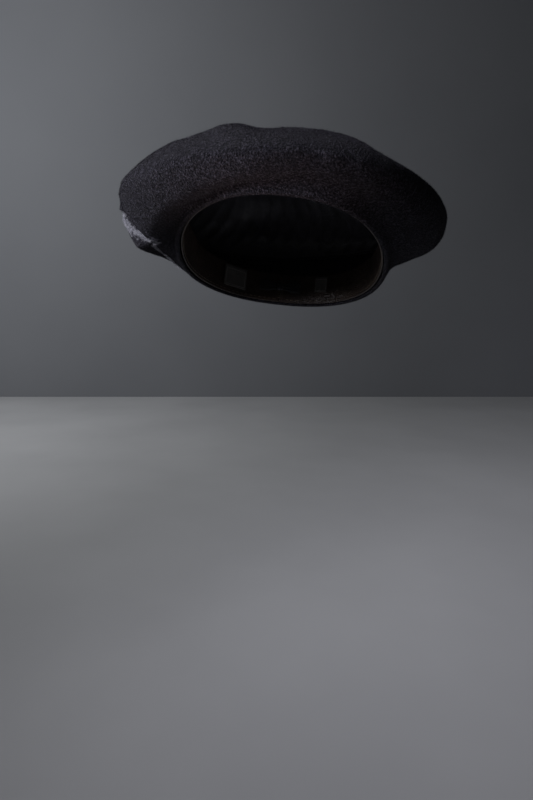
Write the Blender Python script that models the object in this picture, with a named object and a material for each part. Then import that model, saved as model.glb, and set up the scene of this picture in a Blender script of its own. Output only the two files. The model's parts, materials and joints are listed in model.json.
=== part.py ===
"""A wool felt beret, shaped as it sits on a head: front towards -Y, top towards +Z.

The origin is the centre of the head opening. The opening is an oval in a plane that tips down
towards the back and a little towards +X. Every layer of the crown follows one surface: around the
hat by a turn in degrees (0 at the front, 90 at +X, 180 at the back, 270 at -X), and up it by a
climb that counts the rings from the rim (0) to the apex (9). Lengths are millimetres.
"""

import math

import bmesh
import bpy
import numpy as np
from mathutils import Vector

MM = 0.001

# Head opening: a superellipse that widens towards the back, in a tipped plane.
OPENING_HALF_WIDTH = 77.5
OPENING_HALF_LENGTH = 98.0
OPENING_POWER = 2.24
OPENING_BACK_WIDENING = 0.12
RIM_PITCH = math.radians(16.0)
RIM_ROLL = math.radians(6.0)

# Felt shell. The rim, neck and underside rings follow the opening; the others are free ovals.
# Four values stand for the front, +X, back and -X.
FELT_THICKNESS = 3.0
RIM_OUTER = 5.5
RIM_INNER = 1.9
NECK_OUTER = 7.5
NECK_RISE = 5.0
UNDER_OUTER = (11, 13, 19, 13)
UNDER_HEIGHT = (37, -1, -12, 15.5)
APEX_BACK = 10.0
APEX_HEIGHT = 94.5
# Each free ring: how far it reaches, how high it lies, and how far its centre is set back.
RINGS = (
    ("low", (115.5, 113.5, 131, 101.5), (40, 7.5, 2, 14.5), 0),
    ("equator", (120.5, 121.5, 138, 120), (48, 20, 15, 39), 0),
    ("high", (113, 117.5, 134, 117), (57, 34.5, 36, 53), 0),
    ("shoulder", (95, 87, 112, 89), (67.5, 53, 58, 75.5), 2),
    ("slope", (72, 69, 80, 67.5), (76.5, 78.5, 77, 76.5), 6),
    ("top", (42, 40, 44, 36.5), (87.5, 91, 91, 91), 9),
)
APEX_CLIMB = len(RINGS) + 3
EQUATOR_CLIMB = 4
NORMAL_CLIMB = 0.35
NORMAL_TURN = 0.05

# Soft shapes that the felt falls into: a lobe behind a fold on the -X side, and a ridge on top.
LOBE_START, LOBE_ONSET, LOBE_LENGTH = 278.0, 15.0, 74.0
LOBE_OUT = 17.0
LOBE_CLIMB, LOBE_SPREAD = 2.5, 1.6
RIDGE_HEIGHT, RIDGE_X, RIDGE_SPREAD = 7.0, -35.5, 14.5
RIDGE_FROM, RIDGE_FULL = 55.0, 80.0

# Sweatband: a leather strip sewn along the rim, with its ends butted at the back.
BAND_THICKNESS = 1.2
BAND_BOTTOM = 0.8
BAND_HEIGHT = 28.0
BAND_LEAN = 2.0
BAND_END_GAP = 0.4
STITCH_RISE = 3.4
STITCH_RADIUS = 0.5
STITCH_CLEAR = 0.5

# Lining: two satin panels and the piped seam between them, hung clear of the felt.
LINING_DEPTH = 3.8
LINING_THICKNESS = 0.6
LINING_START = 1.0
LINING_SLACK = 3.0
SEAM_GAP = 0.08
PIPING_RADIUS = 0.8
PIPING_CLEAR = 1.5
PATCH_CLIMB = 8.4
PATCH_CLEAR = 0.5
PATCH_THICKNESS = 0.8

# Stalk at the crown's centre.
STALK_RISE = 6.5
STALK_ROOT_RADIUS = 2.0
STALK_TIP_RADIUS = 1.3
STALK_SIDES = 12
STALK_CLEAR = 0.4

# Labels that hang from the sweatband's top edge: turn, width, length.
LABELS = (("care_label", 207.0, 24.0, 20.0), ("size_tab", 156.0, 12.0, 15.0))
LABEL_THICKNESS = 0.5
LABEL_HINGE_RISE = 26.0
LABEL_CLEAR = 0.9

# Flat bow over the butted ends of the sweatband.
BOW_RISE = 14.5
BOW_LOOP_LENGTH = 17.0
BOW_LOOP_DEPTH = 3.6
BOW_WIDTH = 9.5
BOW_PINCHED_WIDTH = 5.5
BOW_RIBBON = 0.7
BOW_CLEAR = 1.2
KNOT_HALF_WIDTH = 3.0
KNOT_HEIGHT = 7.0
KNOT_DEPTH = 4.8

# Light wool band laid into the fold: turn, climb and half-width along its middle.
INLAY_ROUTE = (
    (224, 4.15, 0.9),
    (240, 4.34, 1.9),
    (256, 4.36, 2.5),
    (265, 4.08, 2.3),
    (268.2, 3.85, 2.6),
    (269, 3.60, 3.6),
    (272, 3.38, 4.2),
    (276, 3.20, 4.2),
    (280, 3.02, 3.2),
    (280.5, 2.84, 2.0),
    (277, 2.57, 1.4),
    (272.5, 2.26, 1.2),
    (268, 1.90, 1.1),
    (262.5, 1.55, 1.0),
    (257, 1.35, 1.0),
    (252, 1.22, 1.0),
    (246, 1.14, 0.8),
    (240.5, 1.08, 0.7),
)
INLAY_CLEAR = 1.0
INLAY_THICKNESS = 1.0
INLAY_SECTIONS = 86

COLUMNS = 60
FELT_CLIMBS = (0, 0.5, 1, 1.5, 2, 2.5, 3, 3.5, 4, 4.5, 5, 5.5, 6, 7, 8, APEX_CLIMB)

# Base colour, roughness.
FELT_GREY = ((0.0185, 0.0175, 0.0215), 0.95)
WOOL_WHITE = ((0.42, 0.41, 0.44), 0.95)
LEATHER_BROWN = ((0.034, 0.0215, 0.0155), 0.45)
THREAD_TAN = ((0.16, 0.11, 0.07), 0.7)
SATIN_BLACK = ((0.030, 0.029, 0.034), 0.35)
RIBBON_BLACK = ((0.015, 0.015, 0.017), 0.55)
LABEL_GREY = ((0.20, 0.19, 0.175), 0.7)


def smoothstep(t):
    t = np.clip(t, 0.0, 1.0)
    return t * t * (3.0 - 2.0 * t)


def unit(v):
    return v / np.linalg.norm(v, axis=-1, keepdims=True)


# --- the crown's surface


def rim_normal():
    """Unit vector square to the opening's plane, towards the crown."""
    return unit(np.array([math.tan(RIM_ROLL), math.tan(RIM_PITCH), 1.0]))


def rim_height(x, y):
    return -math.tan(RIM_PITCH) * y - math.tan(RIM_ROLL) * x


def opening_radius(turns):
    """Plan distance from the centre to the opening's edge, by fixed-point steps."""
    s, c = np.sin(turns), np.cos(turns)
    radius = np.full_like(turns, OPENING_HALF_LENGTH)
    for _ in range(12):
        half_width = OPENING_HALF_WIDTH * (1.0 - OPENING_BACK_WIDENING * radius * c / OPENING_HALF_LENGTH)
        sides = np.abs(s / half_width) ** OPENING_POWER
        ends = np.abs(c / OPENING_HALF_LENGTH) ** OPENING_POWER
        radius = (sides + ends) ** (-1.0 / OPENING_POWER)
    return radius


def rim_points(turns, offset, rise=0.0):
    """Points around the opening, offset outwards in plan and raised straight up."""
    radius = opening_radius(turns) + offset
    x, y = radius * np.sin(turns), -radius * np.cos(turns)
    return np.stack([x, y, rim_height(x, y) + rise], axis=-1)


def by_quarter(turns, values):
    """Blend four values, for front, +X, back and -X, around the hat."""
    s, c = np.sin(turns), np.cos(turns)
    shares = np.stack([np.maximum(c, 0) ** 2, np.maximum(s, 0) ** 2,
                       np.minimum(c, 0) ** 2, np.minimum(s, 0) ** 2])
    return np.tensordot(np.array(values, dtype=float), shares, 1)


def ring_points(turns, reach, height, back):
    """A ring that is part of an ellipse in each quarter."""
    radius = by_quarter(turns, [r ** -2.0 for r in reach]) ** -0.5
    x, y = radius * np.sin(turns), back - radius * np.cos(turns)
    return np.stack([x, y, by_quarter(turns, height)], axis=-1)


def add_soft_shapes(points, turns, climbs):
    """Push the felt out behind the fold, and lift the ridge on the crown."""
    degrees = np.degrees(turns) % 360.0
    onset = smoothstep((LOBE_START - degrees) / LOBE_ONSET)
    fade = smoothstep((degrees - (LOBE_START - LOBE_LENGTH)) / (LOBE_LENGTH - LOBE_ONSET))
    level = np.exp(-(((climbs - LOBE_CLIMB) / LOBE_SPREAD) ** 2)) * smoothstep(climbs / 1.2)
    lobe = level[:, None] * (onset * fade)[None, :]
    points[..., 0] -= LOBE_OUT * lobe
    on_top = np.clip((points[..., 2] - RIDGE_FROM) / (RIDGE_FULL - RIDGE_FROM), 0, 1)
    bump = np.exp(-(((points[..., 0] - RIDGE_X) / RIDGE_SPREAD) ** 2))
    points[..., 2] += RIDGE_HEIGHT * on_top * bump
    return points


def crown_surface(turns, climbs):
    """The felt's outer surface, one row per climb: a Catmull-Rom curve through the rings."""
    turns, climbs = np.atleast_1d(turns).astype(float), np.atleast_1d(climbs).astype(float)
    rings = [rim_points(turns, RIM_OUTER), rim_points(turns, NECK_OUTER, NECK_RISE)]
    under = rim_points(turns, by_quarter(turns, UNDER_OUTER))
    under[:, 2] = by_quarter(turns, UNDER_HEIGHT)
    rings.append(under)
    rings += [ring_points(turns, reach, height, back) for _, reach, height, back in RINGS]
    rings.append(np.tile([0.0, APEX_BACK, APEX_HEIGHT], (len(turns), 1)))
    rings = np.stack(rings)
    knots = np.concatenate([2 * rings[:1] - rings[1:2], rings, 2 * rings[-1:] - rings[-2:-1]])
    step = np.clip(np.floor(climbs).astype(int), 0, APEX_CLIMB - 1)
    t = (climbs - step)[:, None, None]
    a, b, c, d = (knots[step + k] for k in range(4))
    points = 0.5 * (2 * b + (c - a) * t + (2 * a - 5 * b + 4 * c - d) * t ** 2
                    + (3 * b - a - 3 * c + d) * t ** 3)
    return add_soft_shapes(points, turns, climbs)


def crown_normals(turns, climbs):
    """Outward normals, taken over steps wide enough to stay smooth where the felt bends tightly."""
    climbs = np.asarray(climbs, dtype=float)
    above = crown_surface(turns, np.minimum(climbs + NORMAL_CLIMB, APEX_CLIMB))
    below = crown_surface(turns, np.maximum(climbs - NORMAL_CLIMB, 0))
    beside = crown_surface(turns + NORMAL_TURN, climbs) - crown_surface(turns - NORMAL_TURN, climbs)
    normals = np.cross(beside, above - below)
    normals[climbs >= APEX_CLIMB] = (0.0, 0.0, 1.0)
    return unit(normals)


def crown_layer(turns, climbs, depth):
    """A surface at a depth under the felt's outer one; depth is one value or one per climb."""
    climbs = np.asarray(climbs, dtype=float)
    depth = np.broadcast_to(depth, climbs.shape)[:, None, None]
    return crown_surface(turns, climbs) - depth * crown_normals(turns, climbs)


def band_point(turn, rise, inward):
    """A point of the sweatband's strip: up from the rim's plane, and inward of its inner face."""
    lean = BAND_LEAN * np.asarray(rise, dtype=float) / BAND_HEIGHT
    turn = np.atleast_1d(turn).astype(float)
    foot = rim_points(turn, -lean - inward)
    return foot + np.asarray(rise, dtype=float)[..., None] * rim_normal()


# --- meshes


def column_turns():
    return np.radians(np.arange(COLUMNS) * 360.0 / COLUMNS)


def add_object(name, points, faces, finish, origin=(0.0, 0.0, 0.0)):
    """Make one closed mesh, with its own material and its origin where it turns."""
    mesh = bpy.data.meshes.new(name)
    local = (np.asarray(points, dtype=float) - origin) * MM
    mesh.from_pydata([tuple(p) for p in local], [], faces)
    edit = bmesh.new()
    edit.from_mesh(mesh)
    bmesh.ops.recalc_face_normals(edit, faces=edit.faces[:])
    bmesh.ops.triangulate(edit, faces=edit.faces[:])
    edit.to_mesh(mesh)
    edit.free()
    mesh.shade_smooth()
    mesh.set_sharp_from_angle(angle=math.radians(40))
    colour, roughness = finish
    material = bpy.data.materials.new(name)
    material.use_nodes = True
    shader = material.node_tree.nodes["Principled BSDF"]
    shader.inputs["Base Color"].default_value = (*colour, 1.0)
    shader.inputs["Roughness"].default_value = roughness
    shader.inputs["Metallic"].default_value = 0.0
    mesh.materials.append(material)
    item = bpy.data.objects.new(name, mesh)
    item.location = Vector(origin) * MM
    bpy.context.scene.collection.objects.link(item)
    return item


def loop_faces(count, sides):
    """Faces of a body made of closed sections around a closed loop."""
    faces = []
    for i in range(count):
        j = (i + 1) % count
        for k in range(sides):
            m = (k + 1) % sides
            faces.append((i * sides + k, j * sides + k, j * sides + m, i * sides + m))
    return faces


def add_loop(name, sections, finish):
    count, sides = sections.shape[:2]
    return add_object(name, sections.reshape(-1, 3), loop_faces(count, sides), finish)


def add_loft(name, sections, finish, origin=(0.0, 0.0, 0.0)):
    """A body of closed sections along an open line, with flat ends."""
    count, sides = sections.shape[:2]
    faces = [f for f in loop_faces(count, sides) if max(f) - min(f) < 2 * sides]
    faces = faces[: (count - 1) * sides]
    faces.append(tuple(range(sides)))
    faces.append(tuple((count - 1) * sides + k for k in range(sides)))
    return add_object(name, sections.reshape(-1, 3), faces, finish, origin)


def add_dome(name, outer, inner, finish):
    """A body between two grids that share an open edge; their last rows close to a point."""
    rows, columns = outer.shape[:2]
    points = []
    faces = []
    for grid in (outer, inner):
        first = len(points)
        points.extend(grid[:-1].reshape(-1, 3))
        points.append(grid[-1].mean(axis=0))
        tip = len(points) - 1
        for c in range(columns):
            d = (c + 1) % columns
            for r in range(rows - 2):
                low, high = first + r * columns, first + (r + 1) * columns
                faces.append((low + c, low + d, high + d, high + c))
            last = first + (rows - 2) * columns
            faces.append((last + c, last + d, tip))
    inside = (rows - 1) * columns + 1
    for c in range(columns):
        d = (c + 1) % columns
        faces.append((c, d, inside + d, inside + c))
    return add_object(name, points, faces, finish)


# --- pieces


def make_felt_crown():
    turns = column_turns()
    outer = crown_surface(turns, FELT_CLIMBS)
    inner = crown_layer(turns, FELT_CLIMBS, FELT_THICKNESS)
    inner[0] = rim_points(turns, RIM_INNER)
    add_dome("felt_crown", outer, inner, FELT_GREY)


def make_crown_stalk():
    """A small felt tail on the crown's centre. Its round root lets it tip about its own middle."""
    foot = crown_surface(np.zeros(1), [APEX_CLIMB])[0, 0]
    root = foot + (0.0, 0.0, STALK_CLEAR + STALK_ROOT_RADIUS)
    profile = [(math.cos(a), math.sin(a)) for a in np.radians([-80, -55, -30, 0])]
    profile = [(STALK_ROOT_RADIUS * r, STALK_ROOT_RADIUS * z) for r, z in profile]
    for part in (0.25, 0.5, 0.75, 0.93, 1.0):
        taper = STALK_ROOT_RADIUS + (STALK_TIP_RADIUS - STALK_ROOT_RADIUS) * smoothstep(part * 1.5)
        profile.append((taper * (0.55 if part == 1.0 else 1.0), part * STALK_RISE))
    angles = np.linspace(0, 2 * math.pi, STALK_SIDES, endpoint=False)
    circle = np.stack([np.cos(angles), np.sin(angles), np.zeros_like(angles)], axis=-1)
    sections = [root + radius * circle + (0.0, 0.0, rise) for radius, rise in profile]
    add_loft("crown_stalk", np.stack(sections), FELT_GREY, origin=tuple(root))


def make_sweatband():
    """The strip runs all the way round, and its ends meet at the back with a narrow gap."""
    gap = math.degrees(BAND_END_GAP / OPENING_HALF_LENGTH)
    turns = np.radians(np.concatenate([[180 + gap], np.arange(186, 535, 6), [540 - gap]]))
    top = BAND_BOTTOM + BAND_HEIGHT
    sections = np.stack([
        band_point(turns, np.full(len(turns), rise), inward)
        for rise, inward in ((BAND_BOTTOM, 0), ((BAND_BOTTOM + top) / 2, 0), (top, 0),
                             (top, -BAND_THICKNESS), (BAND_BOTTOM, -BAND_THICKNESS))
    ], axis=1)
    add_loft("leather_sweatband", sections, LEATHER_BROWN)


def make_tube_loop(name, centres, radius, sides, finish):
    """A round cord that follows a closed line of points."""
    ahead = unit(np.roll(centres, -1, axis=0) - np.roll(centres, 1, axis=0))
    side = unit(np.cross(ahead, (0.0, 0.0, 1.0)))
    up = np.cross(side, ahead)
    angles = np.linspace(0, 2 * math.pi, sides, endpoint=False)
    sections = np.stack([centres + radius * (math.cos(a) * side + math.sin(a) * up) for a in angles], axis=1)
    add_loop(name, sections, finish)


def make_sweatband_stitching():
    turns = column_turns()
    line = band_point(turns, np.full(COLUMNS, STITCH_RISE), STITCH_CLEAR + STITCH_RADIUS)
    make_tube_loop("sweatband_stitching", line, STITCH_RADIUS, 4, THREAD_TAN)


def lining_depth(climbs):
    """The top panel sags a little away from the felt towards the middle of the crown."""
    climbs = np.asarray(climbs, dtype=float)
    return LINING_DEPTH + LINING_SLACK * smoothstep((climbs - EQUATOR_CLIMB - 1) / 3.0)


def make_lining():
    turns = column_turns()
    under = np.array([LINING_START, *[c for c in FELT_CLIMBS if LINING_START < c < EQUATOR_CLIMB],
                      EQUATOR_CLIMB - SEAM_GAP])
    outer = crown_layer(turns, under, LINING_DEPTH)
    inner = crown_layer(turns, under, LINING_DEPTH + LINING_THICKNESS)
    sections = np.concatenate([outer, inner[::-1]]).transpose(1, 0, 2)
    add_loop("lining_under_panel", sections, SATIN_BLACK)

    top = np.array(sorted([EQUATOR_CLIMB + SEAM_GAP, PATCH_CLIMB, *[c for c in FELT_CLIMBS if c > EQUATOR_CLIMB]]))
    outer = crown_layer(turns, top, lining_depth(top))
    inner = crown_layer(turns, top, lining_depth(top) + LINING_THICKNESS)
    add_dome("lining_top_panel", outer, inner, SATIN_BLACK)

    depth = LINING_DEPTH + LINING_THICKNESS + PIPING_CLEAR + PIPING_RADIUS
    line = crown_layer(turns, [EQUATOR_CLIMB], depth)[0]
    make_tube_loop("lining_seam_piping", line, PIPING_RADIUS, 6, SATIN_BLACK)

    patch = np.array([PATCH_CLIMB, APEX_CLIMB])
    depth = lining_depth(patch) + LINING_THICKNESS + PATCH_CLEAR
    outer = crown_layer(turns, patch, depth)
    inner = crown_layer(turns, patch, depth + PATCH_THICKNESS)
    add_dome("lining_patch", outer, inner, LABEL_GREY)


def make_label(name, turn, width, length):
    """A flat blank label that hangs against the leather from a hinge line near its top edge."""
    centre_turn = np.radians([turn])
    stand_off = LABEL_CLEAR + width ** 2 / (8 * OPENING_HALF_WIDTH)
    hinge = band_point(centre_turn, np.array([LABEL_HINGE_RISE]), stand_off)[0]
    foot = band_point(centre_turn, np.array([LABEL_HINGE_RISE - length]), stand_off)[0]
    down = unit(foot - hinge)
    beside = band_point(centre_turn + 0.05, np.array([LABEL_HINGE_RISE]), stand_off)[0]
    across = unit(beside - hinge)
    inward = unit(np.cross(down, across))
    if inward @ hinge > 0:
        inward = -inward
    sections = []
    for part in np.linspace(0, 1, 4):
        middle = hinge + down * length * part
        sections.append([middle + across * width * a / 2 + inward * LABEL_THICKNESS * b
                         for a, b in ((-1, 0), (1, 0), (1, 1), (-1, 1))])
    add_loft(name, np.array(sections), LABEL_GREY, origin=tuple(hinge))


def bow_point(along, rise, inward):
    """A point of the bow: along the band from its back centre, up it and inward of it."""
    turn = math.pi + np.asarray(along, dtype=float) / OPENING_HALF_LENGTH
    return band_point(turn, np.asarray(rise, dtype=float), inward)


def make_bow_loop(name, side):
    """One flattened loop of ribbon: out along the band and back over itself."""
    start = KNOT_HALF_WIDTH + 0.4
    half = BOW_LOOP_LENGTH / 2
    sections = []
    for angle in np.linspace(0, 2 * math.pi, 20, endpoint=False):
        outward = math.cos(angle)
        along = start + half * (1 + np.sign(outward) * abs(outward) ** 0.8)
        depth = BOW_LOOP_DEPTH * (0.45 + 0.55 * (1 + outward) / 2)
        middle = BOW_CLEAR + BOW_LOOP_DEPTH / 2 + depth / 2 * math.sin(angle)
        spread = smoothstep((along - start) / BOW_LOOP_LENGTH * 1.6)
        width = BOW_PINCHED_WIDTH + (BOW_WIDTH - BOW_PINCHED_WIDTH) * spread
        ribbon = []
        for across, skin in ((-1, -1), (1, -1), (1, 1), (-1, 1)):
            shift = skin * BOW_RIBBON / 2
            ribbon.append(bow_point([side * (along + shift * outward)],
                                    [BOW_RISE + across * width / 2],
                                    middle + shift * math.sin(angle))[0])
        sections.append(ribbon)
    add_loop(name, np.array(sections), RIBBON_BLACK)


def make_bow_knot():
    """The ribbon wrapped round the middle of the bow, a soft-edged block."""
    sections = []
    for part in (-1.0, -0.8, 0.0, 0.8, 1.0):
        shrink = 0.8 if abs(part) == 1.0 else 1.0
        rim = []
        for angle in np.linspace(0, 2 * math.pi, 12, endpoint=False):
            rise = BOW_RISE + shrink * KNOT_HEIGHT / 2 * np.sign(math.cos(angle)) * abs(math.cos(angle)) ** 0.6
            depth = shrink * KNOT_DEPTH / 2 * np.sign(math.sin(angle)) * abs(math.sin(angle)) ** 0.6
            rim.append(bow_point([part * KNOT_HALF_WIDTH], [rise], BOW_CLEAR - 0.4 + KNOT_DEPTH / 2 + depth)[0])
        sections.append(rim)
    add_loft("back_bow_knot", np.array(sections), RIBBON_BLACK)


def make_wool_inlay():
    """A tapered band of light wool that follows the fold, laid just over the felt's facets."""
    route = np.array(INLAY_ROUTE, dtype=float)
    knots = np.arange(len(route))
    spots = np.linspace(0, len(route) - 1, INLAY_SECTIONS)
    turn, climb, half = (np.interp(spots, knots, route[:, k]) for k in range(3))
    kernel = np.array([0.25, 0.5, 0.25])
    for _ in range(6):
        for line in (turn, climb):
            line[1:-1] = np.convolve(line, kernel, "valid")
    turn = np.radians(turn)
    middle = np.array([crown_surface(a, c)[0, 0] for a, c in zip(turn, climb)])
    normal = np.array([crown_normals(np.array([a]), [c])[0, 0] for a, c in zip(turn, climb)])
    ahead = unit(np.gradient(middle, axis=0))
    across = unit(np.cross(normal, ahead))
    sections = []
    for m, n, a, h in zip(middle, normal, across, half):
        low, high = INLAY_CLEAR, INLAY_CLEAR + INLAY_THICKNESS
        sections.append([m + n * low - a * h, m + n * low, m + n * low + a * h,
                         m + n * (low + 0.4) + a * h, m + n * high, m + n * (low + 0.4) - a * h])
    add_loft("white_wool_inlay", np.array(sections), WOOL_WHITE)


def main():
    for item in list(bpy.data.objects):
        bpy.data.objects.remove(item, do_unlink=True)
    make_felt_crown()
    make_crown_stalk()
    make_wool_inlay()
    make_sweatband()
    make_sweatband_stitching()
    make_lining()
    for name, turn, width, length in LABELS:
        make_label(name, turn, width, length)
    make_bow_loop("back_bow_left_loop", 1)
    make_bow_loop("back_bow_right_loop", -1)
    make_bow_knot()


main()
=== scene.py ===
"""Looks of a lined wool felt beret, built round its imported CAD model.

Every soft layer follows the same surface as the CAD: a turn round the hat in radians (0 at the
front, a quarter at +X, a half at the back) and a climb that counts rings from the rim (0) to the
apex (9). Shapes are worked out in millimetres and written to meshes in metres.
"""
import json
import math

import bpy
import numpy as np
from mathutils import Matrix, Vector


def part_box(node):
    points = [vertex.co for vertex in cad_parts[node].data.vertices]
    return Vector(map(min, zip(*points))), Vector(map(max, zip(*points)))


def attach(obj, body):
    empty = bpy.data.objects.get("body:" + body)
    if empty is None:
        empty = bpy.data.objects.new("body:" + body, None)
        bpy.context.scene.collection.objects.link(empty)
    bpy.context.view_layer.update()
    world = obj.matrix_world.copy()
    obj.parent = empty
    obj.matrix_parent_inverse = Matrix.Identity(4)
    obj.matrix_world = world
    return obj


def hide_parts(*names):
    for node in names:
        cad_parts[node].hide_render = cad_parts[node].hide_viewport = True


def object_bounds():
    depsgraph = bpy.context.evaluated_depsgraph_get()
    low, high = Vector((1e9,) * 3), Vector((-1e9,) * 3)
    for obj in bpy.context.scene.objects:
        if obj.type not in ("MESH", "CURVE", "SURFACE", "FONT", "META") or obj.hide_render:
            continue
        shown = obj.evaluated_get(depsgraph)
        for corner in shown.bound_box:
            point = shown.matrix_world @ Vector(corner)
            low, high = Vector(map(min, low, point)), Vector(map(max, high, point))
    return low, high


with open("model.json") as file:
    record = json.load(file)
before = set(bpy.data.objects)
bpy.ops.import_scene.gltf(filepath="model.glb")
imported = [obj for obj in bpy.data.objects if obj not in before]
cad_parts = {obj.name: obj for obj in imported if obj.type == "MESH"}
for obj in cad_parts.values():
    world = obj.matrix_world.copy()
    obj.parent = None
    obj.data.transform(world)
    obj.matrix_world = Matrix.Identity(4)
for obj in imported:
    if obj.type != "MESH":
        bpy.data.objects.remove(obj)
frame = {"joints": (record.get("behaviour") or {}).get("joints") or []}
CAD_BOX = [list(map(float, corner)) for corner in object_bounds()]

MM = 0.001
BODY = "beret"

# --- dimensions shared with the CAD model, in millimetres
OPENING_HALF_WIDTH, OPENING_HALF_LENGTH = 77.5, 98.0
OPENING_POWER, OPENING_BACK_WIDENING = 2.24, 0.12
RIM_PITCH, RIM_ROLL = math.radians(16.0), math.radians(6.0)
FELT_THICKNESS, RIM_OUTER, RIM_INNER = 3.0, 5.5, 1.9
NECK_OUTER, NECK_RISE = 7.5, 5.0
UNDER_OUTER, UNDER_HEIGHT = (11, 13, 19, 13), (37, -1, -12, 15.5)
APEX_BACK, APEX_HEIGHT = 10.0, 94.5
RINGS = (
    ("low", (115.5, 113.5, 131, 101.5), (40, 7.5, 2, 14.5), 0),
    ("equator", (120.5, 121.5, 138, 120), (48, 20, 15, 39), 0),
    ("high", (113, 117.5, 134, 117), (57, 34.5, 36, 53), 0),
    ("shoulder", (95, 87, 112, 89), (67.5, 53, 58, 75.5), 2),
    ("slope", (72, 69, 80, 67.5), (76.5, 78.5, 77, 76.5), 6),
    ("top", (42, 40, 44, 36.5), (87.5, 91, 91, 91), 9),
)
APEX_CLIMB, EQUATOR_CLIMB = len(RINGS) + 3, 4
LOBE_START, LOBE_ONSET, LOBE_LENGTH = 278.0, 15.0, 74.0
LOBE_OUT, LOBE_CLIMB, LOBE_SPREAD = 17.0, 2.5, 1.6
RIDGE_HEIGHT, RIDGE_X, RIDGE_SPREAD = 7.0, -35.5, 14.5
RIDGE_FROM, RIDGE_FULL = 55.0, 80.0
BAND_THICKNESS, BAND_BOTTOM, BAND_HEIGHT, BAND_LEAN = 1.2, 0.8, 28.0, 2.0
STITCH_RISE = 3.4
LINING_DEPTH, LINING_THICKNESS, LINING_START, LINING_SLACK = 3.8, 0.6, 1.0, 3.0
SEAM_GAP, PIPING_RADIUS, PIPING_CLEAR = 0.08, 0.8, 1.5
PATCH_CLIMB, PATCH_CLEAR, PATCH_THICKNESS = 8.4, 0.5, 0.8
LABELS = (("care_label", 207.0, 24.0, 20.0), ("size_tab", 156.0, 12.0, 15.0))
LABEL_THICKNESS, LABEL_HINGE_RISE, LABEL_CLEAR = 0.5, 26.0, 0.9
BOW_RISE, BOW_LOOP_LENGTH, BOW_LOOP_DEPTH = 14.5, 17.0, 3.6
BOW_WIDTH, BOW_PINCHED_WIDTH, BOW_RIBBON, BOW_CLEAR = 9.5, 5.5, 0.7, 1.2
KNOT_HALF_WIDTH, KNOT_HEIGHT, KNOT_DEPTH = 3.0, 7.0, 4.8

# --- detail that only the looks have; routes over the crown are (degrees, climb) points
FOLD_EDGE = (
    (262, 4.45), (267, 4.18), (272.5, 3.96), (283.5, 3.68), (289.2, 3.50), (291.5, 3.34),
    (292, 3.18), (290.5, 3.0), (287.5, 2.80), (284, 2.55), (280.5, 2.30), (277.5, 2.10),
)
FOLD_DROP, FOLD_LIP, FOLD_REACH, FOLD_SPOTS = 3.3, 1.2, 9.0, 160
# hair counts; the fold's hairs are mostly pale and paint a highlight along its crest
NAP_HAIRS, FOLD_HIGHLIGHT_HAIRS, WOOL_HAIRS, STALK_HAIRS = 150000, 900, 22000, 1800
NAP_WIDTH, WOOL_SECTIONS = 0.13, 300

# --- stage, in metres
FLOOR_LEVEL, BACKDROP_DISTANCE, BACKDROP_TOP, STAGE_REACH = -0.43, 2.2, 3.5, 4.0
CAMERA_PLACE, CAMERA_TILT_DOWN = (-0.0118, -0.431, -0.0434), 8.7
WOOL_UPPER = (
    (224, 4.25), (240, 4.48), (256, 4.52), (265, 4.20), (269.2, 3.98), (270.5, 3.80),
    (271.8, 3.66), (274.8, 3.54), (278.4, 3.37), (280.2, 3.22), (281.6, 3.04), (281.0, 2.84),
    (278, 2.55), (274.5, 2.26), (269.5, 1.88), (264, 1.52), (258, 1.25), (254, 1.08),
    (250, 1.00), (246, 0.96), (241, 0.93),
)
WOOL_LOWER = (
    (224, 4.05), (240, 4.20), (256, 4.20), (263, 4.05), (266.6, 3.94), (265.8, 3.78),
    (265.3, 3.64), (265, 3.50), (267.5, 3.34), (270, 3.22), (275, 3.10), (280.0, 2.86),
    (276.5, 2.60), (272, 2.32), (267.5, 1.96), (262, 1.62), (256.5, 1.36), (252.5, 1.20),
    (249, 1.12), (245, 1.06), (240, 1.02),
)


def smoothstep(t):
    t = np.clip(t, 0.0, 1.0)
    return t * t * (3.0 - 2.0 * t)


def unit(v):
    return v / np.maximum(np.linalg.norm(v, axis=-1, keepdims=True), 1e-9)


def waves(points, wavelength, seed, count=20):
    """Smooth random relief of about unit height: plane waves in random directions."""
    rng = np.random.default_rng(seed)
    directions = unit(rng.normal(size=(count, 3)))
    lengths = wavelength * rng.uniform(0.7, 1.5, count)
    phases = rng.uniform(0, 2 * math.pi, count)
    total = np.zeros(points.shape[:-1])
    for direction, length, phase in zip(directions, lengths, phases):
        total += np.cos(points @ direction * (2 * math.pi / length) + phase)
    return total / math.sqrt(count / 2)


# --- the crown's surface


def rim_normal():
    return unit(np.array([math.tan(RIM_ROLL), math.tan(RIM_PITCH), 1.0]))


def rim_height(x, y):
    return -math.tan(RIM_PITCH) * y - math.tan(RIM_ROLL) * x


def opening_radius(turns):
    s, c = np.sin(turns), np.cos(turns)
    radius = np.full_like(turns, OPENING_HALF_LENGTH)
    for _ in range(12):
        half_width = OPENING_HALF_WIDTH * (1.0 - OPENING_BACK_WIDENING * radius * c / OPENING_HALF_LENGTH)
        sides = np.abs(s / half_width) ** OPENING_POWER
        ends = np.abs(c / OPENING_HALF_LENGTH) ** OPENING_POWER
        radius = (sides + ends) ** (-1.0 / OPENING_POWER)
    return radius


def rim_points(turns, offset, rise=0.0):
    radius = opening_radius(turns) + offset
    x, y = radius * np.sin(turns), -radius * np.cos(turns)
    return np.stack([x, y, rim_height(x, y) + rise], axis=-1)


def by_quarter(turns, values):
    s, c = np.sin(turns), np.cos(turns)
    shares = (np.maximum(c, 0) ** 2, np.maximum(s, 0) ** 2, np.minimum(c, 0) ** 2, np.minimum(s, 0) ** 2)
    return sum(value * share for value, share in zip(values, shares))


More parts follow.
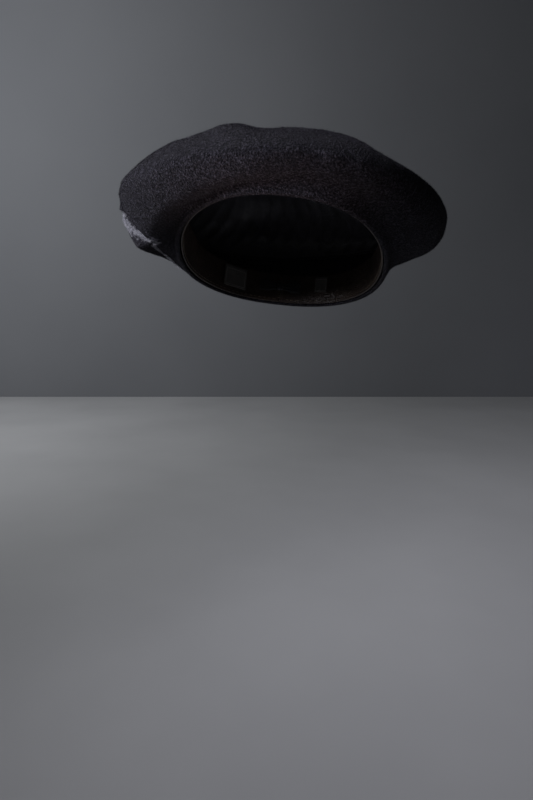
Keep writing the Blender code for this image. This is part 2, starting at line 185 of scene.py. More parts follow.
def ring_points(turns, reach, height, back):
    radius = by_quarter(turns, [r ** -2.0 for r in reach]) ** -0.5
    x, y = radius * np.sin(turns), back - radius * np.cos(turns)
    return np.stack([x, y, by_quarter(turns, height)], axis=-1)


def crown_surface(turns, climbs):
    """The felt's smooth outer surface at pairs of turn and climb, which have one shape."""
    turns, climbs = np.broadcast_arrays(np.asarray(turns, float), np.asarray(climbs, float))
    shape = turns.shape
    turns, climbs = turns.ravel(), climbs.ravel()
    under = rim_points(turns, by_quarter(turns, UNDER_OUTER))
    under[:, 2] = by_quarter(turns, UNDER_HEIGHT)
    rings = [rim_points(turns, RIM_OUTER), rim_points(turns, NECK_OUTER, NECK_RISE), under]
    rings += [ring_points(turns, reach, height, back) for _, reach, height, back in RINGS]
    rings.append(np.tile([0.0, APEX_BACK, APEX_HEIGHT], (len(turns), 1)))
    rings = np.stack(rings)
    knots = np.concatenate([2 * rings[:1] - rings[1:2], rings, 2 * rings[-1:] - rings[-2:-1]])
    step = np.clip(np.floor(climbs).astype(int), 0, APEX_CLIMB - 1)
    each = np.arange(len(turns))
    t = (climbs - step)[:, None]
    a, b, c, d = (knots[step + k, each] for k in range(4))
    points = 0.5 * (2 * b + (c - a) * t + (2 * a - 5 * b + 4 * c - d) * t ** 2
                    + (3 * b - a - 3 * c + d) * t ** 3)
    degrees = np.degrees(turns) % 360.0
    onset = smoothstep((LOBE_START - degrees) / LOBE_ONSET)
    fade = smoothstep((degrees - (LOBE_START - LOBE_LENGTH)) / (LOBE_LENGTH - LOBE_ONSET))
    level = np.exp(-(((climbs - LOBE_CLIMB) / LOBE_SPREAD) ** 2)) * smoothstep(climbs / 1.2)
    points[:, 0] -= LOBE_OUT * level * onset * fade
    on_top = np.clip((points[:, 2] - RIDGE_FROM) / (RIDGE_FULL - RIDGE_FROM), 0, 1)
    points[:, 2] += RIDGE_HEIGHT * on_top * np.exp(-(((points[:, 0] - RIDGE_X) / RIDGE_SPREAD) ** 2))
    return points.reshape(*shape, 3)


def crown_normals(turns, climbs, climb_step=0.35, turn_step=0.05):
    turns, climbs = np.broadcast_arrays(np.asarray(turns, float), np.asarray(climbs, float))
    above = crown_surface(turns, np.minimum(climbs + climb_step, APEX_CLIMB))
    below = crown_surface(turns, np.maximum(climbs - climb_step, 0))
    beside = crown_surface(turns + turn_step, climbs) - crown_surface(turns - turn_step, climbs)
    normals = np.cross(beside, above - below)
    normals[climbs >= APEX_CLIMB - 1e-6] = (0.0, 0.0, 1.0)
    return unit(normals)


def crown_layer(turns, climbs, depth):
    return crown_surface(turns, climbs) - np.asarray(depth)[..., None] * crown_normals(turns, climbs)


def along_route(route, count):
    """Turns and climbs at even steps along a route of (degrees, climb) points."""
    route = np.array(route, float)
    length = np.hypot(np.diff(route[:, 0]) * 2.0, np.diff(route[:, 1]) * 25.0)
    place = np.concatenate([[0], np.cumsum(length)])
    spots = np.linspace(0, place[-1], count)
    return np.radians(np.interp(spots, place, route[:, 0])), np.interp(spots, place, route[:, 1])


def fold_step(points):
    """The step where the front of the crown laps over its back: its edge stands out, and the felt
    just under it lies deeper."""
    route = along_route(FOLD_EDGE, FOLD_SPOTS)
    line, out = crown_surface(*route), crown_normals(*route)
    ahead = unit(np.gradient(line, axis=0))
    under = unit(np.cross(ahead, out))
    step = np.zeros(points.shape[:-1])
    near = np.linalg.norm(points - line.mean(axis=0), axis=-1) < 90.0
    spots = points[near]
    gaps = np.linalg.norm(spots[:, None, :] - line[None], axis=-1)
    nearest = gaps.argmin(axis=1)
    distance = gaps[np.arange(len(spots)), nearest]
    side = ((spots - line[nearest]) * under[nearest]).sum(-1)
    ends = smoothstep(nearest / 26.0) * smoothstep((FOLD_SPOTS - 1 - nearest) / 30.0)
    fading = 1 - smoothstep((distance - 2.0) / (FOLD_REACH - 2.0))
    drop = FOLD_DROP * smoothstep((side + 0.1) / 1.0) * fading
    lip = FOLD_LIP * smoothstep((0.7 - side) / 1.0) * np.exp(-((distance / 5.0) ** 2))
    step[near] = ends * (lip - drop)
    return step


def felt_relief(points, climbs):
    """How far the felt stands out from its smooth shape: slack waves, lumps in the wool, the fold."""
    free = smoothstep(climbs / 1.5)
    relief = 0.36 * waves(points, 52.0, 11) * free
    relief += 0.13 * waves(points, 16.0, 12) * free
    relief += 0.07 * waves(points, 5.0, 13, 30)
    relief += 0.05 * waves(points, 2.6, 14, 36)
    return relief + fold_step(points)


def felt_skin(turns, climbs, lift=0.0):
    """The felt's finished outer surface, or a point a little over it."""
    points = crown_surface(turns, climbs)
    normals = crown_normals(turns, climbs, 0.12, 0.02)
    return points + normals * (felt_relief(points, climbs) + lift)[..., None]


def band_point(turn, rise, inward):
    """A point of the sweatband: up from the rim's plane, and inward of its inner face."""
    turn, rise, inward = np.broadcast_arrays(*(np.asarray(v, float) for v in (turn, rise, inward)))
    foot = rim_points(turn, -BAND_LEAN * rise / BAND_HEIGHT - inward)
    return foot + rise[..., None] * rim_normal()


# --- meshes


def add_mesh(name, points, faces, material, body=BODY, smooth=True):
    """A new piece from points in millimetres; it rides on a body and takes a slot's finish."""
    mesh = bpy.data.meshes.new(name)
    points = np.ascontiguousarray(np.asarray(points, float) * MM, dtype=np.float32)
    faces = np.asarray(faces, dtype=np.int32)
    mesh.vertices.add(len(points))
    mesh.vertices.foreach_set("co", points.ravel())
    mesh.loops.add(faces.size)
    mesh.loops.foreach_set("vertex_index", faces.ravel())
    mesh.polygons.add(len(faces))
    mesh.polygons.foreach_set("loop_start", np.arange(len(faces), dtype=np.int32) * faces.shape[1])
    mesh.update(calc_edges=True)
    mesh.validate()
    if smooth:
        mesh.shade_smooth()
    for item in material if isinstance(material, (list, tuple)) else [material]:
        mesh.materials.append(item)
    piece = bpy.data.objects.new(name, mesh)
    bpy.context.scene.collection.objects.link(piece)
    if body:
        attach(piece, body)
    return piece


def grid_faces(rows, columns, closed_columns=True, closed_rows=False):
    """Quads of a grid, wound so that a surface that climbs as its columns turn faces outwards."""
    across = columns if closed_columns else columns - 1
    up = rows if closed_rows else rows - 1
    r, c = np.meshgrid(np.arange(up), np.arange(across), indexing="ij")
    r2, c2 = (r + 1) % rows, (c + 1) % columns
    corners = [r * columns + c, r * columns + c2, r2 * columns + c2, r2 * columns + c]
    return np.stack(corners, -1).reshape(-1, 4)


def cap_ends(sections, sides):
    """Faces that close a loft's two ends, as quads across each section."""
    faces = []
    for first, flip in ((0, True), ((sections - 1) * sides, False)):
        for k in range(1, sides // 2):
            quad = [first + k - 1, first + k, first + sides - 1 - k, first + sides - k]
            faces.append(quad[::-1] if flip else quad)
    return np.array(faces)


def add_loft(name, sections, material, body=BODY, closed=False):
    """A body of closed sections along a line, or round a closed one."""
    count, sides = sections.shape[:2]
    faces = grid_faces(count, sides, True, closed)
    if not closed:
        faces = np.concatenate([faces, cap_ends(count, sides)])
    return face_outwards(add_mesh(name, sections.reshape(-1, 3), faces, material, body))


def face_outwards(piece):
    """Turn a closed mesh's faces outwards, by the sign of its volume."""
    mesh = piece.data
    mesh.calc_loop_triangles()
    corners = np.empty(len(mesh.vertices) * 3, np.float32)
    mesh.vertices.foreach_get("co", corners)
    index = np.empty(len(mesh.loop_triangles) * 3, np.int32)
    mesh.loop_triangles.foreach_get("vertices", index)
    a, b, c = corners.reshape(-1, 3)[index.reshape(-1, 3)].astype(float).transpose(1, 0, 2)
    if (a * np.cross(b, c)).sum() < 0:
        mesh.flip_normals()
    return piece


def add_shell(name, outer, inner, material, body=BODY):
    """A cloth or felt shell between two grids whose first rows meet and whose last rows are a point."""
    rows, columns = outer.shape[:2]
    inner_rows = inner.shape[0]
    points = np.concatenate([outer.reshape(-1, 3), inner[::-1].reshape(-1, 3)])
    total = rows + inner_rows
    faces = grid_faces(total, columns)
    seam = slice((rows - 1) * columns, rows * columns)
    keep = np.ones(len(faces), bool)
    keep[seam] = False
    first = rows * columns + (inner_rows - 1) * columns
    c = np.arange(columns)
    d = (c + 1) % columns
    edge = np.stack([first + c, first + d, d, c], -1)
    return face_outwards(add_mesh(name, points, np.concatenate([faces[keep], edge]), material, body))


# --- materials


class Nodes:
    """A small helper for procedural materials: places texture nodes on object coordinates."""

    def __init__(self, name):
        self.material = bpy.data.materials.new(name)
        self.material.use_nodes = True
        self.tree = self.material.node_tree
        self.shader = self.tree.nodes["Principled BSDF"]
        self.place = self.tree.nodes.new("ShaderNodeTexCoord").outputs["Object"]

    def add(self, kind, **values):
        node = self.tree.nodes.new(kind)
        for key, value in values.items():
            if key in node.inputs:
                node.inputs[key].default_value = value
            else:
                setattr(node, key, value)
        return node

    def link(self, a, b):
        self.tree.links.new(a, b)

    def stretch(self, scale, turn=(0, 0, 0)):
        node = self.add("ShaderNodeMapping")
        node.inputs["Scale"].default_value = scale
        node.inputs["Rotation"].default_value = turn
        self.link(self.place, node.inputs["Vector"])
        return node.outputs["Vector"]

    def noise(self, scale, detail=2.0, roughness=0.5, at=None):
        node = self.add("ShaderNodeTexNoise", Scale=scale, Detail=detail, Roughness=roughness)
        self.link(at or self.place, node.inputs["Vector"])
        return node.outputs["Fac"]

    def cells(self, scale, feature="F1", at=None):
        node = self.add("ShaderNodeTexVoronoi", Scale=scale, feature=feature)
        self.link(at or self.place, node.inputs["Vector"])
        return node.outputs["Distance"]

    def bands(self, scale, direction="X", distortion=0.0, at=None):
        node = self.add("ShaderNodeTexWave", Scale=scale, Distortion=distortion, bands_direction=direction)
        self.link(at or self.place, node.inputs["Vector"])
        return node.outputs["Fac"]

    def ramp(self, fac, stops):
        node = self.add("ShaderNodeValToRGB")
        elements = node.color_ramp.elements
        while len(elements) < len(stops):
            elements.new(0.5)
        for element, (place, colour) in zip(elements, stops):
            element.position = place
            value = colour if hasattr(colour, "__len__") else (colour, colour, colour)
            element.color = (*value, 1.0)
        self.link(fac, node.inputs["Fac"])
        return node.outputs["Color"]

    def math(self, operation, a, b):
        node = self.add("ShaderNodeMath", operation=operation)
        for socket, value in zip(node.inputs, (a, b)):
            if isinstance(value, (int, float)):
                socket.default_value = value
            else:
                self.link(value, socket)
        return node.outputs["Value"]

    def mix(self, fac, a, b, blend="MIX"):
        node = self.add("ShaderNodeMix", data_type="RGBA", blend_type=blend)
        for socket, value in ((node.inputs[0], fac), (node.inputs[6], a), (node.inputs[7], b)):
            if isinstance(value, (int, float)):
                socket.default_value = value
            elif hasattr(value, "__len__"):
                socket.default_value = (*value, 1.0)
            else:
                self.link(value, socket)
        return node.outputs[2]

    def colour(self, value):
        if hasattr(value, "__len__"):
            self.shader.inputs["Base Color"].default_value = (*value, 1.0)
        else:
            self.link(value, self.shader.inputs["Base Color"])

    def bump(self, height, distance, strength=1.0, under=None):
        node = self.add("ShaderNodeBump", Distance=distance, Strength=strength)
        self.link(height, node.inputs["Height"])
        if under:
            self.link(under, node.inputs["Normal"])
        self.link(node.outputs["Normal"], self.shader.inputs["Normal"])
        return node.outputs["Normal"]

    def finish(self, roughness=0.5, specular=0.5, sheen=0.0, sheen_roughness=0.5, **more):
        if isinstance(roughness, (int, float)):
            self.shader.inputs["Roughness"].default_value = roughness
        else:
            self.link(roughness, self.shader.inputs["Roughness"])
        self.shader.inputs["Specular IOR Level"].default_value = specular
        self.shader.inputs["Sheen Weight"].default_value = sheen
        self.shader.inputs["Sheen Roughness"].default_value = sheen_roughness
        for key, value in more.items():
            self.shader.inputs[key.replace("_", " ")].default_value = value
        return self.material


def felt_material():
    """Charcoal wool felt: blue-black ground, mottled by small knots of paler fibre."""
    n = Nodes("charcoal_wool_felt")
    knots = n.noise(820.0, 2.0, 0.75)
    clumps = n.noise(330.0, 2.0, 0.55)
    drift = n.noise(28.0, 2.0, 0.5)
    ground = n.ramp(knots, ((0.34, (0.0048, 0.0044, 0.0062)), (0.50, (0.0165, 0.0152, 0.0212)),
                            (0.66, (0.068, 0.064, 0.082))))
    ground = n.mix(1.0, ground, n.ramp(clumps, ((0.3, 0.66), (0.7, 1.30))), "MULTIPLY")
    n.colour(n.mix(1.0, ground, n.ramp(drift, ((0.35, 0.88), (0.65, 1.10))), "MULTIPLY"))
    pile = n.math("ADD", n.math("MULTIPLY", n.cells(780.0), -0.8), n.math("MULTIPLY", knots, 1.4))
    normal = n.bump(pile, 0.0016, 1.0)
    n.bump(clumps, 0.0016, 0.5, normal)
    return n.finish(0.95, 0.10, 0.05, 0.5)


def plain_material(name, colour, roughness=0.9, specular=0.1, sheen=0.0):
    """One even shade, for fibres that are each a single hair."""
    n = Nodes(name)
    n.colour(colour)
    return n.finish(roughness, specular, sheen)


def light_wool_material():
    n = Nodes("light_wool")
    strands = n.noise(900.0, 3.0, 0.7)
    n.colour(n.ramp(strands, ((0.34, (0.045, 0.044, 0.052)), (0.52, (0.22, 0.22, 0.25)),
                              (0.70, (0.54, 0.54, 0.59)))))
    n.bump(n.math("ADD", strands, n.noise(2600.0, 1.0)), 0.0010, 0.9)
    return n.finish(0.95, 0.1, 0.2, 0.4)


def leather_material():
    n = Nodes("sweatband_leather")
    grain = n.cells(900.0)
    creases = n.noise(260.0, 4.0, 0.6)
    tone = n.noise(36.0, 3.0, 0.55)
    hide = n.ramp(tone, ((0.30, (0.020, 0.0125, 0.0090)), (0.60, (0.034, 0.0215, 0.0155)),
                         (0.80, (0.052, 0.034, 0.025))))
    n.colour(n.mix(1.0, hide, n.ramp(grain, ((0.05, 0.55), (0.35, 1.05))), "MULTIPLY"))
    normal = n.bump(grain, 0.00035, 0.7)
    n.bump(creases, 0.0010, 0.35, normal)
    rough = n.ramp(creases, ((0.3, 0.36), (0.7, 0.58)))
    return n.finish(rough, 0.45)


def satin_material():
    """Charcoal satin: fine floats that run one way, with pressed lines and a soft sheen."""
    n = Nodes("lining_satin")
    floats = n.bands(620.0, "DIAGONAL", 0.6)
    slub = n.noise(190.0, 3.0, 0.5, n.stretch((1.0, 0.12, 1.0), (0.3, 0.2, 0.6)))
    tone = n.ramp(slub, ((0.3, (0.030, 0.029, 0.035)), (0.7, (0.052, 0.051, 0.060))))
    n.colour(n.mix(1.0, tone, n.ramp(floats, ((0.1, 0.78), (0.9, 1.12))), "MULTIPLY"))
    normal = n.bump(floats, 0.00018, 0.5)
    n.bump(slub, 0.0009, 0.35, normal)
    return n.finish(n.ramp(slub, ((0.3, 0.30), (0.7, 0.42))), 0.55, 0.15, 0.4, Anisotropic=0.5)


def cord_material(name, dark, pale, scale=900.0):
    """Twisted yarn: slanted plies."""
    n = Nodes(name)
    plies = n.bands(scale, "DIAGONAL", 1.2)
    n.colour(n.ramp(plies, ((0.15, dark), (0.85, pale))))
    n.bump(plies, 0.0003, 0.8)
    return n.finish(0.6, 0.3, 0.1)


def ribbon_material():
    """Grosgrain: upright ribs close together, with a firm woven edge."""
    n = Nodes("grosgrain_ribbon")
    ribs = n.bands(340.0, "X", 0.15)
    n.colour(n.ramp(ribs, ((0.1, (0.006, 0.006, 0.007)), (0.6, (0.019, 0.019, 0.022)),
                           (0.95, (0.035, 0.035, 0.040)))))
    n.bump(ribs, 0.0006, 0.8)
    return n.finish(n.ramp(ribs, ((0.2, 0.7), (0.9, 0.42))), 0.4, 0.1)


def tape_material(name, base, thread, weft_along="Z"):
    """Woven label tape: warp and weft show as a fine basket of two tones."""
    n = Nodes(name)
    warp, weft = n.bands(420.0, "X", 0.1), n.bands(360.0, weft_along, 0.1)
    weave = n.math("MULTIPLY", warp, weft)
    soil = n.noise(120.0, 3.0, 0.6)
    cloth = n.ramp(weave, ((0.05, thread), (0.7, base)))
    n.colour(n.mix(1.0, cloth, n.ramp(soil, ((0.3, 0.86), (0.7, 1.04))), "MULTIPLY"))
    n.bump(weave, 0.0003, 0.7)
    return n.finish(0.72, 0.25, 0.1)


# --- felt and wool


def dense_turns(count, at_degrees, spread, gain):
    """Turns round the hat that lie closer together near one place."""
    fine = np.linspace(0, 360, 7201)
    density = 1 + gain * np.exp(-(((fine - at_degrees) / spread) ** 2))
    share = np.concatenate([[0], np.cumsum(density[:-1])])
    return np.radians(np.interp(np.arange(count) / count * share[-1], share, fine))


def spaced_climbs(first, counts):
    """Climbs from a first ring on, with a number of rows given for each ring."""
    rows = [np.linspace(first + k, first + k + 1, n, endpoint=False) for k, n in enumerate(counts)]
    return np.concatenate([*rows, [first + len(counts)]])


def make_felt():
    """The moulded shell: outer skin, rolled cut edge, and the inside that the lining covers."""
    turns = dense_turns(450, 276, 17, 2.6)
    climbs = spaced_climbs(0, (9, 16, 26, 26, 18, 20, 18, 18, 20))
    t, c = np.meshgrid(turns, climbs)
    outer = felt_skin(t, c)
    outer[-1] = outer[-1].mean(axis=0)
    front = smoothstep((np.cos(turns) - 0.1) / 0.5)[None, :, None]
    soften = (smoothstep(climbs / 0.6) * smoothstep((3.2 - climbs) / 0.8))[1:-1, None, None] * front
    for _ in range(140):
        outer[1:-1] += 0.5 * soften * ((outer[:-2] + outer[2:]) / 2 - outer[1:-1])
    under, side = np.arange(1, 2, 0.5), np.arange(2, 3.5, 0.25)
    inner_climbs = np.concatenate([under, side, np.arange(3.5, 6, 0.5), [6, 7, 8, APEX_CLIMB]])
    ti, ci = np.meshgrid(turns, inner_climbs)
    depth = np.maximum(FELT_THICKNESS, 0.4 - felt_relief(crown_surface(ti, ci), ci))
    inner = crown_layer(ti, ci, depth)
    middle, half = (RIM_OUTER + RIM_INNER) / 2, (RIM_OUTER - RIM_INNER) / 2
    roll = [rim_points(turns, middle - half * math.cos(angle)) - 0.9 * math.sin(angle) * rim_normal()
            for angle in np.radians([30, 65, 90, 115, 150])]
    rows = np.concatenate([rim_points(turns, RIM_INNER)[None], np.stack(roll), outer])
    piece = add_shell("wool_felt_crown", rows, inner, felt_material())
    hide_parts("felt_crown")
    return turns, rows


def scatter(points, count, rng, weight=None):
    """Random spots on a grid surface, evenly by area, with the surface's normal at each."""
    a, b = points[:-1, :], points[1:, :]
    quad = [a, np.roll(a, -1, axis=1), np.roll(b, -1, axis=1), b]
    normal = np.cross(quad[2] - quad[0], quad[3] - quad[1])
    area = np.linalg.norm(normal, axis=-1) / 2
    if weight is not None:
        area = area * weight[:-1]
    pick = rng.choice(area.size, count, p=(area / area.sum()).ravel())
    corners = [q.reshape(-1, 3)[pick] for q in quad]
    u, v = rng.random(count)[:, None], rng.random(count)[:, None]
    spots = corners[0] * (1 - u) * (1 - v) + corners[1] * u * (1 - v)
    spots = spots + corners[2] * u * v + corners[3] * (1 - u) * v
    return spots, unit(normal.reshape(-1, 3)[pick])


def add_fibres(name, spots, normals, lengths, width, lift, shades, shares, rng, body=BODY):
    """One tapered hair at each spot: a triangle that stands up by lift and leans a random way."""
    sideways = unit(np.cross(normals, rng.normal(size=normals.shape)))
    up = lift[:, None]
    heading = unit(normals * up + sideways * np.sqrt(np.maximum(1 - up ** 2, 0)))
    across = unit(np.cross(heading, rng.normal(size=normals.shape))) * width / 2
    tips = spots + heading * lengths[:, None]
    roots = spots - normals * 0.12
    points = np.stack([roots - across, roots + across, tips], axis=1).reshape(-1, 3)
    faces = np.arange(len(points)).reshape(-1, 3)
    piece = add_mesh(name, points, faces, shades, body, smooth=False)
    picks = rng.choice(len(shades), len(faces), p=shares).astype(np.int32)
    piece.data.polygons.foreach_set("material_index", picks)
    piece.data.update()
    return piece


def make_nap(turns, rows):
    """Short brushed hairs over the felt, front half and back half as two pieces, and mostly pale hairs along
    the fold's edge that paint a highlight on its lit crest.
    """
    shades = [plain_material("nap_black", (0.006, 0.0056, 0.0078)),
              plain_material("nap_charcoal", (0.019, 0.0178, 0.0245)),
              plain_material("nap_grey", (0.052, 0.049, 0.062)),
              plain_material("nap_pale", (0.15, 0.145, 0.17))]
    shares = (0.36, 0.38, 0.21, 0.05)
    rng = np.random.default_rng(5)
    facing = np.cos(turns)[None, :] * np.ones((len(rows), 1))
    for name, weight in (("felt_nap_front", facing > 0), ("felt_nap_back", facing <= 0)):
        spots, normals = scatter(rows, NAP_HAIRS, rng, weight.astype(float))
        lengths = rng.gamma(5.0, 0.15, len(spots)) + 0.3
        lift = rng.uniform(0.15, 0.95, len(spots))
        add_fibres(name, spots, normals, lengths, NAP_WIDTH, lift, shades, shares, rng)
    turns, climbs = along_route(FOLD_EDGE, FOLD_HIGHLIGHT_HAIRS)
    spots = felt_skin(turns, climbs) + rng.normal(scale=0.35, size=(FOLD_HIGHLIGHT_HAIRS, 3))
    inside_ends = slice(FOLD_HIGHLIGHT_HAIRS // 10, -FOLD_HIGHLIGHT_HAIRS * 2 // 15)
    spots, normals = spots[inside_ends], crown_normals(turns, climbs)[inside_ends]
    # over half of these hairs are pale, far more than on the rest of the felt: a painted highlight along the
    # fold's lit crest
    add_fibres("fold_edge_highlight_hairs", spots, normals, rng.uniform(0.6, 2.0, len(spots)), 0.12,
               rng.uniform(0.2, 0.9, len(spots)), shades[2:], (0.45, 0.55), rng)


def make_inlay():
    """Light wool needled into the fold: a thin uneven mat, with loose hairs in it and past its edges."""
    count = WOOL_SECTIONS
    upper, lower = np.stack(along_route(WOOL_UPPER, count)), np.stack(along_route(WOOL_LOWER, count))
    across = np.linspace(0, 1, 15)
    rng = np.random.default_rng(8)
    edge = crown_surface(*upper)
    part = np.linspace(0, 1, count)
    full = smoothstep(part / 0.10) * smoothstep((1 - part) / 0.02)
    inset = 0.22 + 0.14 * waves(edge, 6.0, 21) + 0.10 * waves(edge, 2.2, 22) + 0.24 * (1 - full)
    spread = 0.5 + (across[None, :] - 0.5) * (1 - 2 * np.clip(inset, -0.1, 0.47))[:, None]
    tt, cc = (u[:, None] + (v - u)[:, None] * spread for u, v in zip(upper, lower))
    swell = 1 - (2 * across - 1)[None, :] ** 4
    crest = (0.35 * swell + 0.18 * waves(crown_surface(tt, cc), 2.2, 23)) * full[:, None]
    top, bottom = felt_skin(tt, cc, crest + 0.08), felt_skin(tt, cc, -0.5 + 0 * crest)
    sections = np.concatenate([top, bottom[:, ::-1]], axis=1)
    band = add_loft("light_wool_band", sections, light_wool_material())
    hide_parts("white_wool_inlay")
    shades = [plain_material("wool_grey", (0.12, 0.12, 0.14)),
              plain_material("wool_pale", (0.38, 0.38, 0.42)),
              plain_material("wool_white", (0.76, 0.76, 0.82))]
    spread = rng.beta(1.6, 1.6, WOOL_HAIRS) * 1.24 - 0.12
    along = rng.uniform(0, count - 1, WOOL_HAIRS)
    ends = [[np.interp(along, np.arange(count), values) for values in pair] for pair in (upper, lower)]
    turns, climbs = (u + (v - u) * spread for u, v in zip(*ends))
    tufts = 0.5 * waves(crown_surface(turns, climbs), 5.0, 24)
    keep = rng.random(WOOL_HAIRS) < np.interp(along, np.arange(count), full) - 0.45 + tufts
    turns, climbs = turns[keep], climbs[keep]
    spots, normals = felt_skin(turns, climbs, 0.15), crown_normals(turns, climbs)
    hairs = len(spots)
    add_fibres("light_wool_hairs", spots, normals, rng.gamma(5.0, 0.30, hairs) + 0.4, 0.14,
               rng.uniform(0.05, 0.6, hairs), shades, (0.25, 0.40, 0.35), rng)


def make_stalk():
    """The felt tail on the crown's centre, knotted at its foot and frayed at its tip."""
    joint = next(j for j in frame["joints"] if j["name"] == "stalk_bend")
    root = np.array(joint["pos_m"]) / MM
    low, high = (np.array(corner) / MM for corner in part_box("crown_stalk"))
    rows = np.linspace(0, 1, 40)
    height = low[2] + rows * (high[2] - low[2])
    radius = 2.0 * np.sqrt(np.clip(1 - ((height - root[2]) / 2.05) ** 2, 0.02, 1))
    shaft = 1.45 + 0.35 * np.exp(-((rows - 0.32) / 0.08) ** 2) - 0.25 * rows
    radius = np.where(height > root[2], np.maximum(radius * (height < root[2] + 1.2), shaft), radius)
    radius[-3:] *= (0.9, 0.7, 0.35)
    angles = np.linspace(0, 2 * math.pi, 36, endpoint=False)
    a, h = np.meshgrid(angles, height)
    r = np.repeat(radius[:, None], len(angles), 1)
    bend = 0.5 * ((h - root[2]) / 7.0) ** 2
    points = np.stack([root[0] + r * np.cos(a) + bend * 0.6, root[1] + r * np.sin(a) + bend, h], -1)
    points += 0.12 * waves(points, 2.5, 31)[..., None] * np.stack([np.cos(a), np.sin(a), 0 * a], -1)
    stalk = add_loft("felt_stalk", points, felt_material(), body="stalk")
    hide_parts("crown_stalk")
    rng = np.random.default_rng(9)
    spots, normals = scatter(points, STALK_HAIRS, rng)
    shades = [bpy.data.materials[name] for name in ("nap_charcoal", "nap_grey")]
    add_fibres("felt_stalk_hairs", spots, normals, rng.uniform(0.4, 1.3, len(spots)), 0.09,
               rng.uniform(0.3, 0.9, len(spots)), shades, (0.6, 0.4), rng, body="stalk")


# --- sweatband and what is sewn to it


def make_sweatband():
    """The leather strip: soft waves along its top edge, eased edges, ends butted at the back."""
    gap = 0.004
    turns = np.linspace(math.pi + gap, 3 * math.pi - gap, 700)
    top = BAND_BOTTOM + BAND_HEIGHT
    rises = np.concatenate([[BAND_BOTTOM], np.linspace(BAND_BOTTOM + 0.25, top - 0.35, 22), [top]])
    edge = np.zeros(len(rises))
    edge[0] = edge[-1] = 0.42
    edge[1] = edge[-2] = 0.08
    t, rise = np.meshgrid(turns, rises, indexing="ij")
    flat = band_point(t, rise, 0)
    upper = smoothstep((rise - 8) / 18)
    sway = upper * (0.35 * np.sin(9 * t + 0.7) + 0.3 * np.sin(17 * t + 2.1) + 0.2 * np.sin(31 * t))
    for _, degrees, _, _ in LABELS:
        from_label = np.angle(np.exp(1j * (t - math.radians(degrees))))
        sway *= 1 - 0.9 * np.exp(-(from_label / 0.26) ** 2)
    puckers = 0.16 * np.exp(-((rise - STITCH_RISE) / 2.0) ** 2) * np.cos(t * 190)
    groove = -0.22 * np.exp(-((rise - STITCH_RISE) / 0.55) ** 2)
    face = sway + puckers + groove + 0.05 * waves(flat, 4.0, 41) - edge
    inside = band_point(t, rise, face)
    outside = band_point(t, rise, sway * 0.9 - BAND_THICKNESS + edge)
    sections = np.concatenate([inside, outside[:, ::-1]], axis=1)
    band = add_loft("leather_sweatband_strip", sections, leather_material())
    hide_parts("leather_sweatband")


def add_stitches(name, starts, ends, inward, radius, arch, material, slot):
    """Short threads that rise out of the cloth at one hole and go down at the next."""
    along = np.linspace(0, 1, 9)
    angles = np.linspace(0, 2 * math.pi, 6, endpoint=False)
    ahead = unit(ends - starts)
    side = unit(np.cross(ahead, inward))
    points, faces = [], []
    for k in range(len(starts)):
        base = k * len(along) * len(angles)
        for p in along:
            stand = arch * (1 - (2 * p - 1) ** 4) - radius
            middle = starts[k] + (ends[k] - starts[k]) * p + inward[k] * stand
            thick = radius * (0.75 + 0.25 * math.sin(math.pi * p))
            spokes = [math.cos(a) * side[k] + math.sin(a) * inward[k] for a in angles]
            points.append([middle + thick * spoke for spoke in spokes])
        faces.append(grid_faces(len(along), len(angles)) + base)
        faces.append(cap_ends(len(along), len(angles)) + base)
    return add_mesh(name, np.array(points).reshape(-1, 3), np.concatenate(faces), material, BODY)


def make_sweatband_stitches():
    """A row of long stitches that holds the leather to the felt's edge, and the ones at its joint."""
    pitch = 4.6
    fine = np.linspace(math.pi + 0.01, 3 * math.pi - 0.01, 4000)
    line = band_point(fine, STITCH_RISE, 0.0)
    length = np.concatenate([[0], np.cumsum(np.linalg.norm(np.diff(line, axis=0), axis=1))])
    holes = np.interp(np.arange(pitch / 2, length[-1] - pitch, pitch), length, fine)
    ends = np.interp(np.interp(holes, fine, length) + pitch * 0.72, length, fine)
    starts, stops = (band_point(v, STITCH_RISE, 0.05) for v in (holes, ends))
    middles = (holes + ends) / 2
    inward = unit(band_point(middles, STITCH_RISE, 1.0) - band_point(middles, STITCH_RISE, 0.0))
    thread = cord_material("sewing_thread", (0.07, 0.05, 0.035), (0.26, 0.20, 0.14), 1400.0)
    row = add_stitches("sweatband_stitches", starts, stops, inward, 0.34, 0.55, thread, "thread")
    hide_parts("sweatband_stitching")
    rises = np.linspace(4.5, 26.5, 12)
    shift = 1.5 / OPENING_HALF_LENGTH
    left = band_point(math.pi - shift, rises[:-1], 0.12)
    right = band_point(math.pi + shift, rises[:-1] + 0.6, 0.12)
    back = np.tile(unit(band_point(math.pi, 10, 1.0) - band_point(math.pi, 10, 0.0)), (len(left), 1))
    add_stitches("band_join_stitches", left, right, back, 0.28, 0.5, thread, "thread")


def lining_depth(climbs):
    return LINING_DEPTH + LINING_SLACK * smoothstep((climbs - EQUATOR_CLIMB - 1) / 3.0)


def gathers(turns, seed, folds):
    """Uneven pleats round the hat, from 0 to about 1 deep."""
    rng = np.random.default_rng(seed)
    total = np.zeros_like(turns)
    for count in rng.integers(folds * 0.6, folds * 1.4, 7):
        total += np.sin(count * turns + rng.uniform(0, 6.28))
    return np.abs(total) / 3.2


